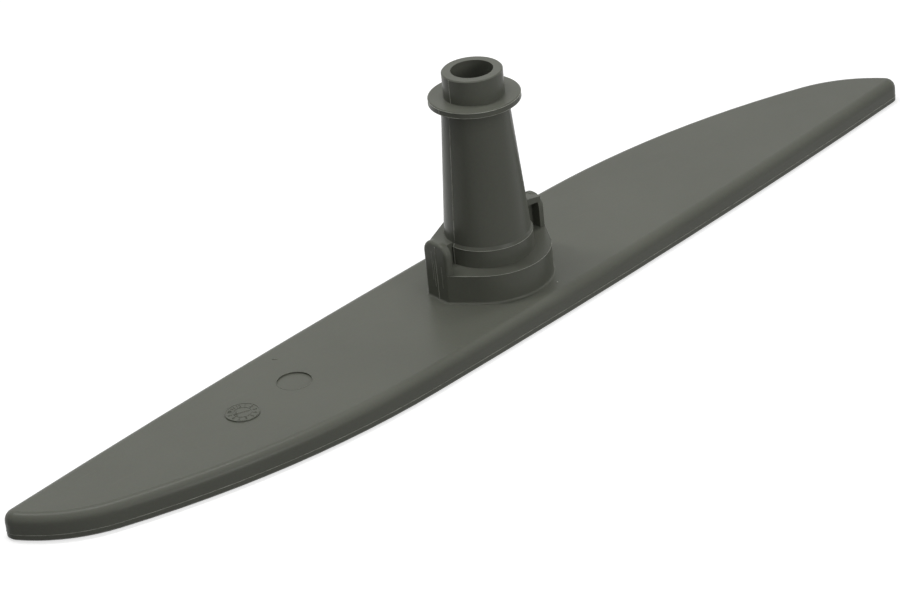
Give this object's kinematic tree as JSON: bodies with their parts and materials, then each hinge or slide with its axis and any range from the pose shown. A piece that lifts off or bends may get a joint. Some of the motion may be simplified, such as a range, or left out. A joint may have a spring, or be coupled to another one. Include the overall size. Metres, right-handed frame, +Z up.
{
  "type": "dishwasher spray arm",
  "caption": "Flat, curved spray arm of grey plastic with a tall conical neck, a flanged collar with the water inlet, and bayonet lugs at the foot of the neck.",
  "frame": {"origin": "on the resting face of the spray side, under the axis of the neck, which is the middle of the arm", "axes": "+X along the arm from tip to tip, towards the narrow lug; +Z up the neck, out of the collar"},
  "size_m": [0.415, 0.0742, 0.0886],
  "materials": {
    "grey_polypropylene": "moulded satin, slightly soft gloss"
  },
  "bodies": {
    "root": {"neck_shell": "grey_polypropylene", "spray_shell": "grey_polypropylene"}
  },
  "joints": []
}
